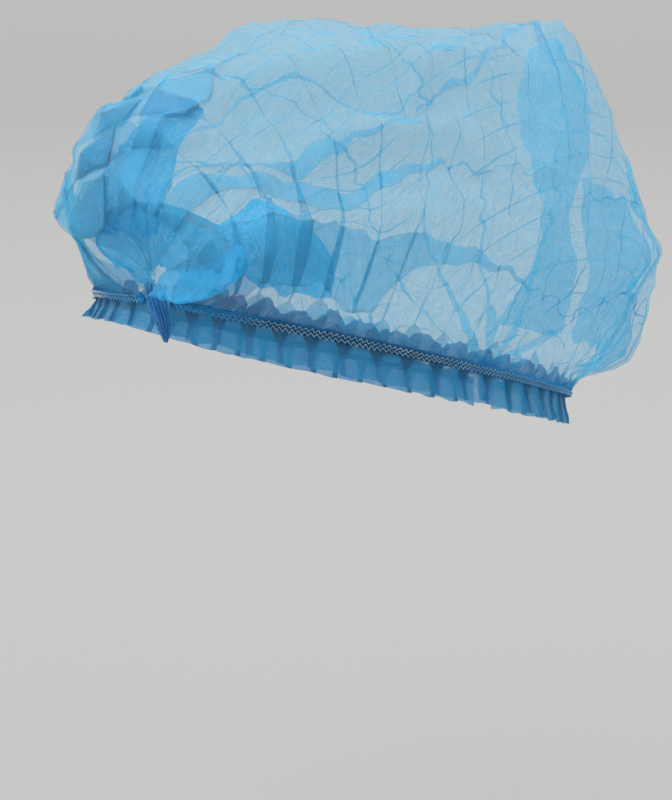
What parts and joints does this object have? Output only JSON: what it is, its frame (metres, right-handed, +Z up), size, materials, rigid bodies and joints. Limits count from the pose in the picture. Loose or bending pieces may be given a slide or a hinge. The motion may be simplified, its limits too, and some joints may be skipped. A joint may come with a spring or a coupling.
{
  "type": "disposable hairnet",
  "caption": "Worn disposable strip cap of thin pleated non-woven cloth, gathered by two sewn elastics that meet at sealed ends, with a ruffled hem.",
  "frame": {"origin": "centre of the head opening, on the plane of the elastic seam", "axes": "+Z up over the head, -Y toward the forehead, +X toward the wearer's left; the opening's plane rises 19 degrees toward the forehead"},
  "size_m": [0.1835, 0.2261, 0.1628],
  "materials": {
    "crown_cloth": "thin translucent spunbond non-woven with fine bond points",
    "hem_cloth": "thin translucent spunbond non-woven, pleated",
    "elastic": "flat covered elastic under grey-white zigzag stitches",
    "tab_cloth": "many layers of the cloth pressed together"
  },
  "bodies": {
    "root": {"crown": "crown_cloth", "hem_left": "hem_cloth", "hem_right": "hem_cloth", "elastic_left": "elastic", "elastic_right": "elastic", "tab_front": "tab_cloth", "tab_back": "tab_cloth"}
  },
  "joints": []
}
